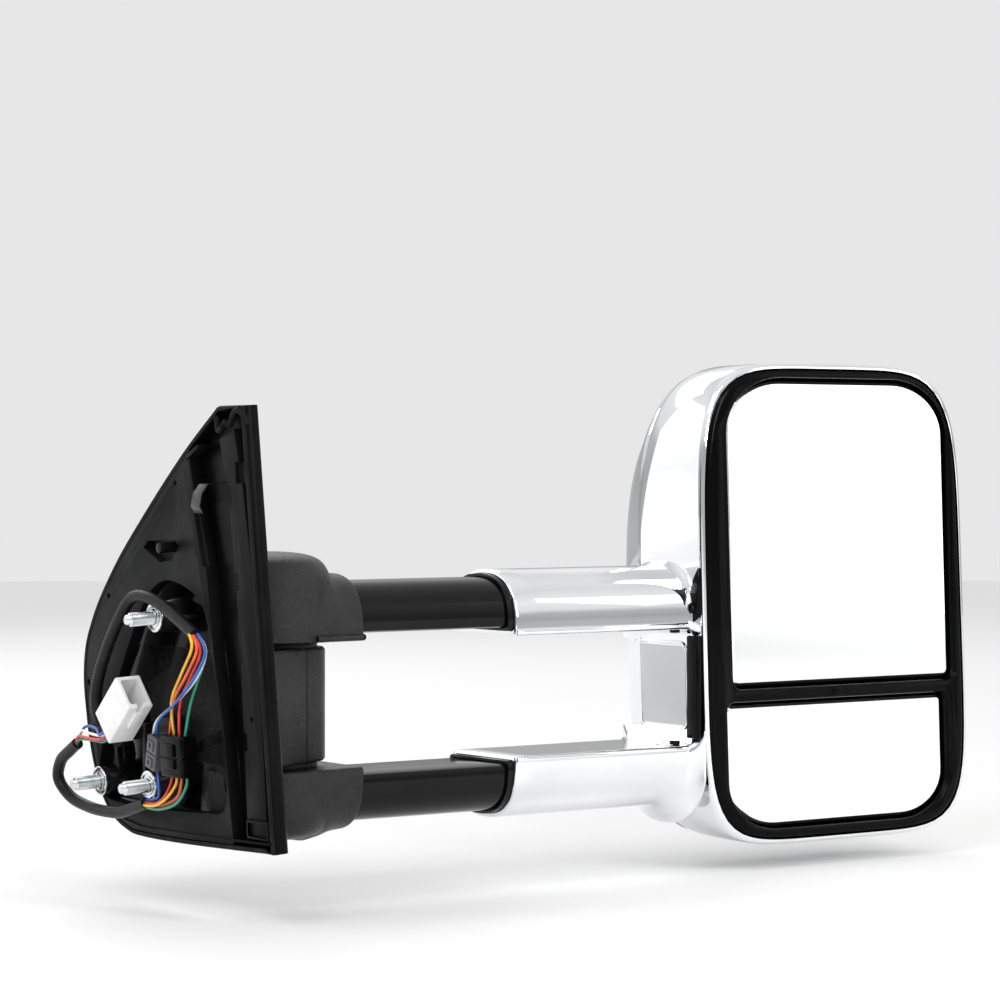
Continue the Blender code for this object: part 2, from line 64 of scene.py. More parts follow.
def modify(piece, kind, **settings):
    pick(piece)
    step = piece.modifiers.new(kind.lower(), kind)
    for key, value in settings.items():
        setattr(step, key, value)
    bpy.ops.object.modifier_apply(modifier=step.name)
    return piece


def combine(piece, other, operation="DIFFERENCE"):
    modify(piece, "BOOLEAN", operation=operation, object=other, solver="EXACT")
    bpy.data.objects.remove(other)
    return piece


def keepInside(piece, room):  # what stands outside the room goes
    modify(piece, "BOOLEAN", operation="INTERSECT", object=room, solver="EXACT")
    bpy.data.objects.remove(room)
    return piece


def smooth(piece, angle=38):
    pick(piece)
    bpy.ops.object.shade_smooth_by_angle(angle=math.radians(angle))
    return piece


def softEdges(piece, width, segments=2, limit=40):
    return modify(piece, "BEVEL", width=width * mm, segments=segments, limit_method="ANGLE", angle_limit=math.radians(limit))


def block(name, low, high, round_=0.0, segments=3):
    low, high = Vector(low), Vector(high)
    clearSelection()
    bpy.ops.mesh.primitive_cube_add(size=1, location=(low + high) / 2 * mm, scale=(high - low) * mm)
    piece = bpy.context.object
    piece.name = name
    settle(piece)
    if round_:
        modify(piece, "BEVEL", width=round_ * mm, segments=segments)
    return piece


def rod(name, start, end, radius, sides=40, round_=0.0, far=None):
    start, end = Vector(start), Vector(end)
    along = end - start
    clearSelection()
    bpy.ops.mesh.primitive_cone_add(
        vertices=sides, radius1=radius * mm, radius2=(radius if far is None else far) * mm,
        depth=along.length * mm, location=(start + end) / 2 * mm,
        rotation=along.to_track_quat("Z", "Y").to_euler(),
    )
    piece = bpy.context.object
    piece.name = name
    settle(piece)
    if round_:
        softEdges(piece, round_, 2, 50)
    return piece


def loft(name, rings):  # skin over rings of points, in millimetres
    mesh = bmesh.new()
    made = [[mesh.verts.new(Vector(p) * mm) for p in ring] for ring in rings]
    for low, high in zip(made[:-1], made[1:]):
        for i in range(len(low)):
            j = (i + 1) % len(low)
            mesh.faces.new((low[i], low[j], high[j], high[i]))
    mesh.faces.new(made[0][::-1])
    mesh.faces.new(made[-1])
    bmesh.ops.recalc_face_normals(mesh, faces=mesh.faces)
    data = bpy.data.meshes.new(name)
    mesh.to_mesh(data)
    mesh.free()
    piece = bpy.data.objects.new(name, data)
    bpy.context.scene.collection.objects.link(piece)
    return piece


def softLoop(points, each=8):
    made, count = [], len(points)
    for i in range(count):
        a, b, c, d = (Vector(points[(i + k) % count]) for k in (-1, 0, 1, 2))
        for k in range(each):
            t = k / each
            made.append(0.5 * (2 * b + (c - a) * t + (2 * a - 5 * b + 4 * c - d) * t * t + (3 * b - a - 3 * c + d) * t**3))
    return made


def drawIn(line, by):  # moves a closed line towards its inside
    made, count = [], len(line)
    for i in range(count):
        way = (line[(i + 1) % count] - line[i - 1]).normalized()
        made.append(line[i] + Vector((way.y, -way.x)) * by)
    return made


def prism(name, line, x0, x1, round_=0.0):
    piece = loft(name, [[(x, y, z) for y, z in line] for x in (x0, x1)])
    if round_:
        softEdges(piece, round_)
    return piece


def onPlate(piece):  # pieces drawn upright are turned with the door plate
    piece.data.transform(plateTurn)
    return piece


def finishPiece(piece, look, body, slotName, *nodes, angle=38):
    smooth(piece, angle)
    piece.data.materials.clear()
    piece.data.materials.append(look)
    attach(piece, body)
    if nodes:
        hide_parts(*nodes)
    return piece


# --- finishes
def effectGroup(name, inputs, outputs, build):
    group = bpy.data.node_groups.new(name, "ShaderNodeTree")
    for socket, value in inputs.items():
        made = group.interface.new_socket(name=socket, in_out="INPUT", socket_type="NodeSocketFloat")
        made.default_value = value
    for socket, kind in outputs.items():
        group.interface.new_socket(name=socket, in_out="OUTPUT", socket_type=kind)
    start = group.nodes.new("NodeGroupInput")
    end = group.nodes.new("NodeGroupOutput")
    build(group, start, end)
    return group


def buildGrain(group, start, end):  # moulded leather grain: raised cells with fine tooth between them
    place = group.nodes.new("ShaderNodeTexCoord")
    cells = group.nodes.new("ShaderNodeTexVoronoi")
    cells.feature = "DISTANCE_TO_EDGE"
    tooth = group.nodes.new("ShaderNodeTexNoise")
    tooth.inputs["Detail"].default_value = 3.0
    double = group.nodes.new("ShaderNodeMath")
    double.operation = "MULTIPLY"
    double.inputs[1].default_value = 2.3
    mix = group.nodes.new("ShaderNodeMath")
    mix.operation = "MULTIPLY_ADD"
    mix.inputs[1].default_value = 1.4
    group.links.new(place.outputs["Object"], cells.inputs["Vector"])
    group.links.new(place.outputs["Object"], tooth.inputs["Vector"])
    group.links.new(start.outputs["Scale"], cells.inputs["Scale"])
    group.links.new(start.outputs["Scale"], double.inputs[0])
    group.links.new(double.outputs[0], tooth.inputs["Scale"])
    group.links.new(cells.outputs["Distance"], mix.inputs[0])
    group.links.new(tooth.outputs["Fac"], mix.inputs[2])
    bump = group.nodes.new("ShaderNodeBump")
    bump.inputs["Distance"].default_value = 0.0003
    group.links.new(start.outputs["Depth"], bump.inputs["Strength"])
    group.links.new(mix.outputs[0], bump.inputs["Height"])
    group.links.new(bump.outputs["Normal"], end.inputs["Normal"])
    group.links.new(tooth.outputs["Fac"], end.inputs["Mask"])


def buildSmudge(group, start, end):  # slow cloudy change, as handling leaves on a polished face
    place = group.nodes.new("ShaderNodeTexCoord")
    cloud = group.nodes.new("ShaderNodeTexNoise")
    cloud.inputs["Detail"].default_value = 4.0
    spread = group.nodes.new("ShaderNodeMapRange")
    spread.inputs["From Min"].default_value = 0.3
    spread.inputs["From Max"].default_value = 0.7
    group.links.new(place.outputs["Object"], cloud.inputs["Vector"])
    group.links.new(start.outputs["Scale"], cloud.inputs["Scale"])
    group.links.new(cloud.outputs["Fac"], spread.inputs["Value"])
    group.links.new(start.outputs["Low"], spread.inputs["To Min"])
    group.links.new(start.outputs["High"], spread.inputs["To Max"])
    group.links.new(spread.outputs["Result"], end.inputs["Value"])


grainEffect = effectGroup("grainEffect", {"Scale": 900, "Depth": 0.5},
                          {"Normal": "NodeSocketVector", "Mask": "NodeSocketFloat"}, buildGrain)
smudgeEffect = effectGroup("smudgeEffect", {"Scale": 14, "Low": 0.1, "High": 0.3}, {"Value": "NodeSocketFloat"}, buildSmudge)


def finishLook(name, dark, light, rough, metallic=0.0, grain=None, cloud=12.0, **fixed):
    look = bpy.data.materials.new(name)
    look.use_nodes = True
    nodes, links = look.node_tree.nodes, look.node_tree.links
    shader = nodes["Principled BSDF"]
    shader.inputs["Metallic"].default_value = metallic
    for socket, value in fixed.items():
        shader.inputs[socket.replace("_", " ")].default_value = value
    tint = nodes.new("ShaderNodeGroup")
    tint.node_tree = smudgeEffect
    tint.inputs["Scale"].default_value = cloud
    tint.inputs["Low"].default_value = 0.0
    tint.inputs["High"].default_value = 1.0
    ramp = nodes.new("ShaderNodeValToRGB")
    ramp.color_ramp.elements[0].color = (*dark, 1)
    ramp.color_ramp.elements[1].color = (*light, 1)
    links.new(tint.outputs["Value"], ramp.inputs["Fac"])
    links.new(ramp.outputs["Color"], shader.inputs["Base Color"])
    haze = nodes.new("ShaderNodeGroup")
    haze.node_tree = smudgeEffect
    haze.inputs["Scale"].default_value = cloud * 2.7
    haze.inputs["Low"].default_value = rough[0]
    haze.inputs["High"].default_value = rough[1]
    links.new(haze.outputs["Value"], shader.inputs["Roughness"])
    if grain:
        skin = nodes.new("ShaderNodeGroup")
        skin.node_tree = grainEffect
        skin.inputs["Scale"].default_value = grain[0]
        skin.inputs["Depth"].default_value = grain[1]
        links.new(skin.outputs["Normal"], shader.inputs["Normal"])
    look.diffuse_color = (*light, 1)
    return look


chromeLook = finishLook("chromePlate", (0.80, 0.81, 0.83), (0.90, 0.905, 0.915), (0.02, 0.045), metallic=1.0)
shadedChromeLook = finishLook("shadedChrome", (0.46, 0.465, 0.475), (0.58, 0.585, 0.6), (0.05, 0.1), metallic=1.0)
grainedLook = finishLook("grainedBlack", (0.004, 0.004, 0.0045), (0.010, 0.010, 0.011), (0.24, 0.33),
                         grain=(1300, 0.75), cloud=30, Specular_IOR_Level=0.3)
glossLook = finishLook("glossBlack", (0.0015, 0.0015, 0.0018), (0.004, 0.004, 0.0045), (0.08, 0.16), Specular_IOR_Level=0.07)
bezelLook = finishLook("bezelBlack", (0.001, 0.001, 0.0012), (0.002, 0.002, 0.0022), (0.12, 0.2), Specular_IOR_Level=0.06)
tubeLook = finishLook("satinTube", (0.002, 0.002, 0.0022), (0.004, 0.004, 0.0044), (0.12, 0.2), Specular_IOR_Level=0.2)
trayLook = finishLook("trayBlack", (0.0015, 0.0015, 0.0018), (0.004, 0.004, 0.0045), (0.2, 0.34),
                      grain=(1100, 0.1), cloud=20, Specular_IOR_Level=0.06)
panelLook = finishLook("panelGrey", (0.004, 0.0042, 0.0046), (0.008, 0.0083, 0.009), (0.36, 0.5),
                       grain=(2600, 0.2), cloud=18, Specular_IOR_Level=0.08)
castLook = finishLook("castBlack", (0.002, 0.002, 0.0024), (0.006, 0.006, 0.0065), (0.16, 0.32),
                      grain=(700, 0.25), cloud=40, Specular_IOR_Level=0.15)
clipLook = finishLook("springSteel", (0.05, 0.05, 0.052), (0.10, 0.10, 0.104), (0.34, 0.46), metallic=1.0, cloud=120)
zincLook = finishLook("zincPlate", (0.62, 0.66, 0.68), (0.86, 0.89, 0.90), (0.1, 0.24),
                      metallic=1.0, grain=(900, 0.03), cloud=160)
rubberLook = finishLook("sealRubber", (0.004, 0.004, 0.0045), (0.009, 0.009, 0.0095), (0.5, 0.7),
                        grain=(3000, 0.2), cloud=50, Specular_IOR_Level=0.1)
mirrorLook = finishLook("mirrorGlass", (0.95, 0.955, 0.96), (0.98, 0.985, 0.99), (0.004, 0.012),
                        metallic=1.0, cloud=6, Coat_Weight=0.6, Coat_Roughness=0.01)
nylonLook = finishLook("whiteNylon", (0.80, 0.80, 0.80), (0.93, 0.93, 0.93), (0.3, 0.45), grain=(2400, 0.1), cloud=60)
loomLook = finishLook("loomSleeve", (0.006, 0.006, 0.0065), (0.016, 0.016, 0.017), (0.26, 0.42),
                      grain=(1900, 0.2), cloud=120, Specular_IOR_Level=0.18)
connectorLook = finishLook("connectorGrey", (0.07, 0.07, 0.074), (0.11, 0.11, 0.116), (0.3, 0.45),
                           grain=(2200, 0.2), cloud=90)
boardLook = finishLook("lampBoard", (0.75, 0.75, 0.72), (0.9, 0.9, 0.88), (0.3, 0.5), cloud=60)
# the amber lens gets a faint amber emission: painted glow, the lens itself is no lamp
paintedGlowLensLook = finishLook("amberLensPaintedGlow", (0.95, 0.22, 0.012), (1.0, 0.34, 0.03), (0.03, 0.08),
                      cloud=40, Transmission_Weight=0.8, IOR=1.49,
                      Emission_Strength=0.08, Emission_Color=(1.0, 0.26, 0.02, 1))
ledLook = finishLook("ledGlow", (1.0, 0.6, 0.12), (1.0, 0.8, 0.3), (0.2, 0.3),
                     cloud=90, Emission_Strength=14.0, Emission_Color=(1.0, 0.62, 0.14, 1))
wireHues = {
    "yellow": ((0.78, 0.42, 0.02), (0.9, 0.55, 0.04)),
    "orange": ((0.75, 0.09, 0.02), (0.88, 0.16, 0.04)),
    "red": ((0.6, 0.02, 0.015), (0.78, 0.05, 0.03)),
    "blue": ((0.01, 0.08, 0.4), (0.02, 0.14, 0.55)),
    "green": ((0.005, 0.22, 0.13), (0.01, 0.32, 0.2)),
    "white": ((0.75, 0.76, 0.78), (0.9, 0.9, 0.92)),
}
wireLooks = {hue: finishLook("wire" + hue.capitalize(), *pair, (0.25, 0.4), cloud=150) for hue, pair in wireHues.items()}
print("finishes ready")


# --- camera
cameraPlace = {"at": (-0.9373, -1.6228, 0.0975), "turn": -35.49, "pitch": -0.71, "lens": 119.7}
cameraData = bpy.data.cameras.new("camera")
cameraData.lens = cameraPlace["lens"]
cameraData.sensor_width = 36
cameraData.clip_end = 60
camera = bpy.data.objects.new("camera", cameraData)
camera.location = cameraPlace["at"]
camera.rotation_euler = (math.radians(90 + cameraPlace["pitch"]), 0, math.radians(cameraPlace["turn"]))
bpy.context.scene.collection.objects.link(camera)
bpy.context.scene.camera = camera


# --- wiring on the door side; routes lie on the plate, in millimetres
def flowing(points, each=5):
    route, last = [], len(points) - 1
    for i in range(last):
        a, b, c, d = (Vector(points[max(0, min(last, i + k))]) for k in (-1, 0, 1, 2))
        for k in range(each):
            t = k / each
            route.append(0.5 * (2 * b + (c - a) * t + (2 * a - 5 * b + 4 * c - d) * t * t + (3 * b - a - 3 * c + d) * t**3))
    route.append(Vector(points[-1]))
    return route


def strand(name, points, diameter, look, nodes=()):
    route = [plateTurn @ p for p in flowing(points)]
    curve = bpy.data.curves.new(name, "CURVE")
    curve.dimensions = "3D"
    curve.bevel_depth = diameter / 2 * mm
    curve.bevel_resolution = 4
    curve.use_fill_caps = True
    spline = curve.splines.new("POLY")
    spline.points.add(len(route) - 1)
    for point, place in zip(spline.points, route):
        point.co = (*(place * mm), 1)
    spline.use_smooth = True
    curve.materials.append(look)
    piece = bpy.data.objects.new(name, curve)
    bpy.context.scene.collection.objects.link(piece)
    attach(piece, "mount")
    if nodes:
        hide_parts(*nodes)
    return piece


# connectors first, because the wires end in them
blackPlug = {"low": (-18.5, -25, -79), "high": (-8, -1, -55.5), "cavities": 4}
blackConnector = block("blackConnector", blackPlug["low"], blackPlug["high"], 1.2)
for k in range(blackPlug["cavities"]):
    y = -20.5 + 5.6 * k
    combine(blackConnector, block("slot", (-16, y - 2, -57.5), (-10, y + 2, -50), 0.4))
    combine(blackConnector, block("slot", (-16, y - 2, -84), (-10, y + 2, -77), 0.4))
combine(blackConnector, block("latch", (-20, -18, -74), (-18, -8, -60), 0.6), "UNION")
combine(blackConnector, block("waist", (-23, -30, -68.4), (-17.8, 8, -67.2)))
combine(blackConnector, block("waist", (-30, -28, -68.4), (0, -24.2, -67.2)))
onPlate(blackConnector)
finishPiece(blackConnector, glossLook, "mount", "black_gloss_plastic", "connector_black")

smallSize = {"low": (-16.4, 7.6, -77), "high": (-8.4, 18.4, -57.5), "tilt": 16}
smallConnector = block("smallConnector", smallSize["low"], smallSize["high"], 0.8)
combine(smallConnector, block("joint", (-18.4, 4, -67.9), (-15.4, 24, -67.1)))
for low, high in (((-17.4, 10, -65.4), (-16, 16, -59.6)), ((-17.4, 10, -75.4), (-16, 16, -70))):
    combine(smallConnector, block("catch", low, high, 0.4), "UNION")
    combine(smallConnector, block("catchSlot", (low[0] - 1, 12, low[2] + 1.4), (high[0] - 0.6, 14, high[2] - 1.4)))
combine(smallConnector, block("wireEntry", (-14.6, 9.6, -59), (-10.4, 16.4, -50), 0.4))
tiltCentre = Matrix.Translation(Vector((-12.4, 13, -67)) * mm)
smallConnector.data.transform(tiltCentre @ Matrix.Rotation(math.radians(smallSize["tilt"]), 4, "X") @ tiltCentre.inverted())
onPlate(smallConnector)
finishPiece(smallConnector, connectorLook, "mount", "dark_grey_plastic", "connector_small")

whitePlugSize = {"low": (-30, -11, -17), "high": (-14, 11, 17), "turn": 50, "at": (0, 31, -43)}
whitePlug = block("whitePlug", whitePlugSize["low"], whitePlugSize["high"], 1.0)
combine(whitePlug, block("mouth", (-27.6, -8.4, -6), (-16.4, 8.4, 30), 1.2))
combine(whitePlug, block("key", (-24, -12, 9), (-20, -6, 30), 0.4))
combine(whitePlug, block("step", (-14.6, -7, 2), (-12.6, 7, 14), 0.5), "UNION")
for k in range(3):
    z = -9 + 8 * k
    combine(whitePlug, block("rib", (-30.9, -8, z), (-29.6, 8, z + 1.2), 0.3), "UNION")
combine(whitePlug, block("latch", (-24, -12.4, -2), (-19, -10.8, 12), 0.5), "UNION")
for y in (-5, 0, 5):
    combine(whitePlug, block("pinSocket", (-25, y - 1.6, -4), (-19, y + 1.6, 2), 0.3), "UNION")
plugTurn = Matrix.Rotation(math.radians(whitePlugSize["turn"]), 4, "X")
whitePlug.data.transform(Matrix.Translation(Vector(whitePlugSize["at"]) * mm) @ plugTurn)
onPlate(whitePlug)
finishPiece(whitePlug, nylonLook, "mount", "white_nylon", "plug_white")

upperWay = [(3, 79.5, -61), (-6, 80, -60), (-12, 81.6, -48), (-13, 77, -31), (-14, 62, -11), (-15, 43, 8)]
upperWay += [(-15, 27, 20), (-14, 10, 20.5), (-13, -8, 14.5), (-13, -37.5, 1.5)]
strand("loomUpper", upperWay, 7, loomLook, nodes=["loom_upper"])
lowerWay = [(-12, 29, -97.5), (-12, 44, -101.5), (-12, 61, -105.5), (-13, 80, -106), (-14, 96, -104.5)]
lowerWay += [(-16, 112, -100), (-18, 122, -90), (-19, 116, -79), (-19, 104, -72), (-19, 94, -67)]
strand("loomLower", lowerWay, 7, loomLook, nodes=["loom_lower"])

wireThick = 1.7
upperWires = {
    "yellow": [(-16, -36.6, 2.2), (-17, -40, -6), (-17, -26, -22), (-16, -13, -37), (-13, -9, -57)],
    "orange": [(-14.6, -37.6, 1.2), (-15.2, -42.4, -7), (-16.6, -31, -22), (-15.4, -15, -36), (-13, -3.5, -57)],
    "red": [(-13.4, -37.4, 1.2), (-13.4, -43.4, -8), (-14.8, -32.6, -23), (-14, -19, -38), (-13, -14.5, -57)],
    "green": [(-10.6, -38.4, 0.2), (-9.6, -42.6, -9), (-11.6, -36, -24), (-12, -27, -38), (-13, -20.5, -57)],
    "blue": [(-12.4, -39.4, 2.0), (-12.6, -47, -8), (-16, -39.4, -22), (-18, -22, -36), (-15.4, 3, -48), (-12, 12, -57.5)],
    "white": [(-11.6, -38.8, 1.4), (-11.2, -45.4, -8), (-13.8, -37.6, -23), (-17.4, -17.6, -38), (-14, 8, -49),
              (-12, 16.4, -57.5)],
}
for hue, way in upperWires.items():
    strand(hue + "WireUpper", way, wireThick, wireLooks[hue],
           ["wires_upper"] if hue == "yellow" else [])
lowerWires = {
    "red": [(-13, -3.5, -77.6), (-13, -3.4, -82), (-14, 2, -90), (-13.4, 14, -96), (-12.4, 31, -97.2)],
    "yellow": [(-13, -9, -77.6), (-13, -8.6, -83), (-15.4, -2, -91), (-14.8, 13, -97), (-13.4, 31, -98.6)],
    "orange": [(-13, -14.5, -77.6), (-13, -14, -83), (-12, -6, -91.6), (-12, 12, -97.4), (-11.4, 31, -98.4)],
    "green": [(-13, -20.5, -77.6), (-13, -19.4, -84), (-13.8, -9, -94), (-13.6, 11, -99.2), (-12.2, 31, -99.6)],
    "blue": [(-12, 14, -75.4), (-12, 13.6, -80), (-13.4, 11, -86), (-12.6, 14, -93), (-11.4, 30.4, -96)],
}
for hue, way in lowerWires.items():
    strand(hue + "WireLower", way, wireThick, wireLooks[hue],
           ["wires_lower"] if hue == "yellow" else [])
plugWires = {
    "red": [(-19.6, 95.4, -67.4), (-22.4, 86, -62), (-23.4, 72, -62), (-22.6, 57, -61.6), (-21, 45.6, -54.6)],
    "white": [(-18.4, 95, -66.4), (-20.6, 85, -59), (-22.8, 71, -59.4), (-20.8, 56, -60), (-19.4, 45, -53.4)],
    "green": [(-19, 94.6, -68), (-21, 87, -64), (-21, 72, -63.4), (-20.4, 58, -63.2), (-23, 46.6, -55.6)],
    "blue": [(-19.8, 94, -66.6), (-18.6, 85, -57), (-18.4, 72, -57), (-24.2, 57, -59), (-24.4, 45.4, -54.2)],
}
for hue, way in plugWires.items():
    strand(hue + "WirePlug", way, wireThick, wireLooks[hue],
           ["wires_plug"] if hue == "red" else [])
print("wiring laid")


# --- frame parts that are shaped further start from a merged copy of their own mesh
def fromFrame(node, name, body, look, slotName, round_=0.0, angle=38, segments=2):
    clearSelection()
    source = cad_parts[node]
    piece = bpy.data.objects.new(name, source.data.copy())
    bpy.context.scene.collection.objects.link(piece)
    pick(piece)
    bpy.ops.object.mode_set(mode="EDIT")
    bpy.ops.mesh.select_all(action="SELECT")
    bpy.ops.mesh.remove_doubles(threshold=0.00002)
    bpy.ops.mesh.dissolve_limited(angle_limit=math.radians(1.2))
    bpy.ops.object.mode_set(mode="OBJECT")
    if round_:
        softEdges(piece, round_, segments)
    return finishPiece(piece, look, body, slotName, node, angle=angle)


def keepNodes(look, *names):  # hidden works keep their own shape and get a full finish
    for name in names:
        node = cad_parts[name]
        for i in range(len(node.data.materials)):
            node.data.materials[i] = look


# --- head
headSize = {"x": 452.5, "z": 7, "halfWide": 109, "halfTall": 150, "lean": -0.037, "taper": -0.009,
            "square": 6, "around": 220}
headDepths = [(-40, 0.9865), (-39.7, 0.990), (-39.0, 0.9945), (-37.8, 0.998), (-36, 1.0), (-16, 1.0), (5, 1.0)]
headDepths += [(14, 0.9965), (22, 0.988), (30, 0.975), (38, 0.951), (45, 0.918), (50, 0.879), (54, 0.83), (57, 0.766)]
headDepths += [(59.3, 0.68), (61, 0.55), (61.9, 0.4), (62.4, 0.22), (62.5, 0.05)]


def evenly(ring, count):  # the same closed line with its points evenly apart
    ring = [Vector(p) for p in ring]
    ring.append(ring[0])
    lengths = [0.0]
    for a, b in zip(ring[:-1], ring[1:]):
        lengths.append(lengths[-1] + (b - a).length)
    made, i = [], 0
    for k in range(count):
        want = lengths[-1] * k / count
        while lengths[i + 1] < want:
            i += 1
        made.append(ring[i].lerp(ring[i + 1], (want - lengths[i]) / max(1e-9, lengths[i + 1] - lengths[i])))
    return made


def scaleAt(y, outside=1.0):  # how large the head's outline is at this depth
    scale = outside
    for (ya, ka), (yb, kb) in zip(headDepths[:-1], headDepths[1:]):
        if ya <= y <= yb:
            scale = ka + (kb - ka) * (y - ya) / (yb - ya)
    return scale


def squareAt(y, rise):  # corners grow rounder towards the front, most of all above
    deep = max(0.0, min(1.0, (y + 5) / 43))
    return headSize["square"] - (0.8 + 2.3 * deep if rise >= 0 else 1.4 * deep)


def headRing(y, scale, grow=0.0, count=0):
    ring = []
    for i in range(1440):
        t = math.tau * i / 1440
        c, s = math.cos(t), math.sin(t)
        square = squareAt(y, s)
        u = math.copysign(abs(c) ** (2 / square), c)
        v = math.copysign(abs(s) ** (2 / square), s)
        z = v * (headSize["halfTall"] * scale + grow)
        x = u * (headSize["halfWide"] * scale + grow + headSize["taper"] * z)
        ring.append((headSize["x"] + x + headSize["lean"] * z, y, headSize["z"] + z))
    return evenly(ring, count or headSize["around"])


def paneRing(y, pane, grow=0.0):
    x0, z0, halfWide, halfTall, topCorner, lowCorner = pane
    ring = []
    corners = ((1, 1, topCorner, 0), (-1, 1, topCorner, 90), (-1, -1, lowCorner, 180), (1, -1, lowCorner, 270))
    for side, top, corner, start in corners:
        radius = max(1.0, corner + grow)
        wide = radius * (1.35 if corner > 20 else 1)  # the large corners are wider than tall
        for k in range(13):
            t = math.radians(start + 90 * k / 12)
            x = side * (halfWide + grow - wide) + wide * math.cos(t)
            z = top * (halfTall + grow - radius) + radius * math.sin(t)
            ring.append((x0 + x + headSize["lean"] * z, y, z0 + z))
    return ring


def archRing(x, half, flat, tall, sense, low=-999.0, crown=0.0, count=72, soft=3.0, power=2.5, grow=0.0):
    half, flat, tall = half + grow, flat - sense * grow, tall + 2 * grow + crown
    ring = []
    for i in range(count):
        t = math.pi * i / (count - 1)
        c, s = math.cos(t), math.sin(t)
        y = half * math.copysign(abs(c) ** (2 / power), c)
        ring.append((x, max(low, y), flat + sense * (soft + (tall - soft) * abs(s) ** (2 / power))))
    for k in range(6):  # the two bottom corners are rounded
        t = math.radians(90 * k / 5)
        ring.append((x, max(low, -half + soft * (1 - math.cos(t))), flat + sense * soft * (1 - math.sin(t))))
    for k in range(1, 12):
        ring.append((x, max(low, (-half + soft) * (1 - k / 6)), flat))
    for k in range(6):
        t = math.radians(90 - 90 * k / 5)
        ring.append((x, max(low, half - soft * (1 - math.cos(t))), flat + sense * soft * (1 - math.sin(t))))
    return ring


upperFlat, lowerFlat = -6.5, -78.5
arms = (("upper", upperFlat, 1), ("lower", lowerFlat, -1))  # the flat side of each arm faces the other
sleeveSize = {"from": 208, "half": 33, "tall": 38, "wall": 2, "root": 345.5, "fillet": 10}
lampWindow = {"x": (516, 580), "z": (-60, 91)}


def wayIn(flat, sense, start=318, end=372):  # the room that an arm's sleeve takes in the head
    half, tall = sleeveSize["half"], sleeveSize["tall"]
    return loft("wayIn", [archRing(x, half, flat, tall, sense, grow=0.3) for x in (start, end)])


headShell = loft("headShell", [headRing(y, k) for y, k in headDepths])
inside = [(-45, 1.0), (5, 1.0), (30, 0.975), (45, 0.92), (54, 0.83), (59, 0.68), (62, 0.4)]
combine(headShell, loft("hollow", [headRing(y - 3 * (y > 20), k, -3, 120) for y, k in inside]))
for _, flat, sense in arms:
    combine(headShell, wayIn(flat, sense, 330, 362))
(windowLeft, windowRight), (windowLow, windowHigh) = lampWindow["x"], lampWindow["z"]
combine(headShell, block("window", (windowLeft, 5, windowLow), (windowRight, 70, windowHigh), 6, 6))
finishPiece(headShell, chromeLook, "head", "chrome", "head_shell", angle=50)
print("head shell")

for which, flat, sense in arms:
    fillet, root = sleeveSize["fillet"], sleeveSize["root"]
    big = 10 if which == "upper" else 24
    rings = []
    places = [sleeveSize["from"], sleeveSize["from"] + 0.5, sleeveSize["from"] + 1.2]
    places += [225 + 9 * k for k in range(10)] + [root - big + big * k / 14 for k in range(15)] + [root + 1.5]
    for x in sorted(set(places)):
        edge = {0: -0.9, 1: -0.3, 2: 0}.get(places.index(x) if x in places[:3] else 9, 0)
        near = max(0.0, min(1.0, (x - (root - fillet)) / fillet))
        far = max(0.0, min(1.0, (x - (root - big)) / big))
        grow = fillet * (1 - math.sqrt(max(0.0, 1 - near * near))) * 0.92
        crown = big * (1 - math.sqrt(max(0.0, 1 - far * far))) * 0.88 - 2 * grow
        rings.append(archRing(x, sleeveSize["half"], flat, sleeveSize["tall"], sense,
                              low=-39.2, crown=max(0, crown), grow=grow + edge))
    rings += [archRing(x, sleeveSize["half"], flat, sleeveSize["tall"], sense) for x in (root + 1.7, 361)]
    sleeve = loft(which + "Sleeve", rings)
    bore = [archRing(x, sleeveSize["half"], flat, sleeveSize["tall"], sense, grow=-sleeveSize["wall"]) for x in (200, 372)]
    combine(sleeve, loft("bore", bore))
    ridgeHigh = flat + sense * 1.7
    ridge = rod("ridge", (sleeveSize["from"] + 0.6, -32.0, ridgeHigh), (338, -32.0, ridgeHigh), 2.1, 28, 0.5)
    combine(sleeve, ridge, "UNION")
    finishPiece(sleeve, chromeLook, "head", "chrome", "chrome_sleeve_" + which, angle=50)
print("sleeves")

# raised chrome border round the sunk panel between the sleeves
border = {"front": -24, "back": 33, "low": -69, "high": -16, "corner": 7, "thick": 1.3}


def borderLine():
    line = []
    for cy, cz, start in ((border["back"], border["high"], 0), (border["front"], border["high"], 90),
                          (border["front"], border["low"], 180), (border["back"], border["low"], 270)):
        cy += border["corner"] * (-1 if cy > 0 else 1)
        cz += border["corner"] * (-1 if cz > -40 else 1)
        for k in range(9):
            t = math.radians(start + 90 * k / 8)
            line.append((cy + border["corner"] * math.cos(t), cz + border["corner"] * math.sin(t)))
    return line


def wallAt(y, z):  # where the inboard wall stands at this depth and height
    scale = scaleAt(y)
    up = z - headSize["z"]
    square = squareAt(y, up)
    reach = (1 - min(1, abs(up) / (headSize["halfTall"] * scale)) ** square) ** (1 / square)
    return headSize["x"] - reach * (headSize["halfWide"] * scale + headSize["taper"] * up) + headSize["lean"] * up


sunkRings = []
heights = [border["low"] + 2 + (border["high"] - border["low"] - 4) * k / 12 for k in range(13)]
for i in range(13):
    y = border["front"] + 2 + (border["back"] - border["front"] - 4) * i / 12
    ring = [(wallAt(y, z) - 0.35, y, z) for z in heights]
    sunkRings.append(ring + [(wallAt(y, z) + 0.8, y, z) for z in reversed(heights)])
finishPiece(loft("sunkPanel", sunkRings), shadedChromeLook, "head", "chrome", angle=60)

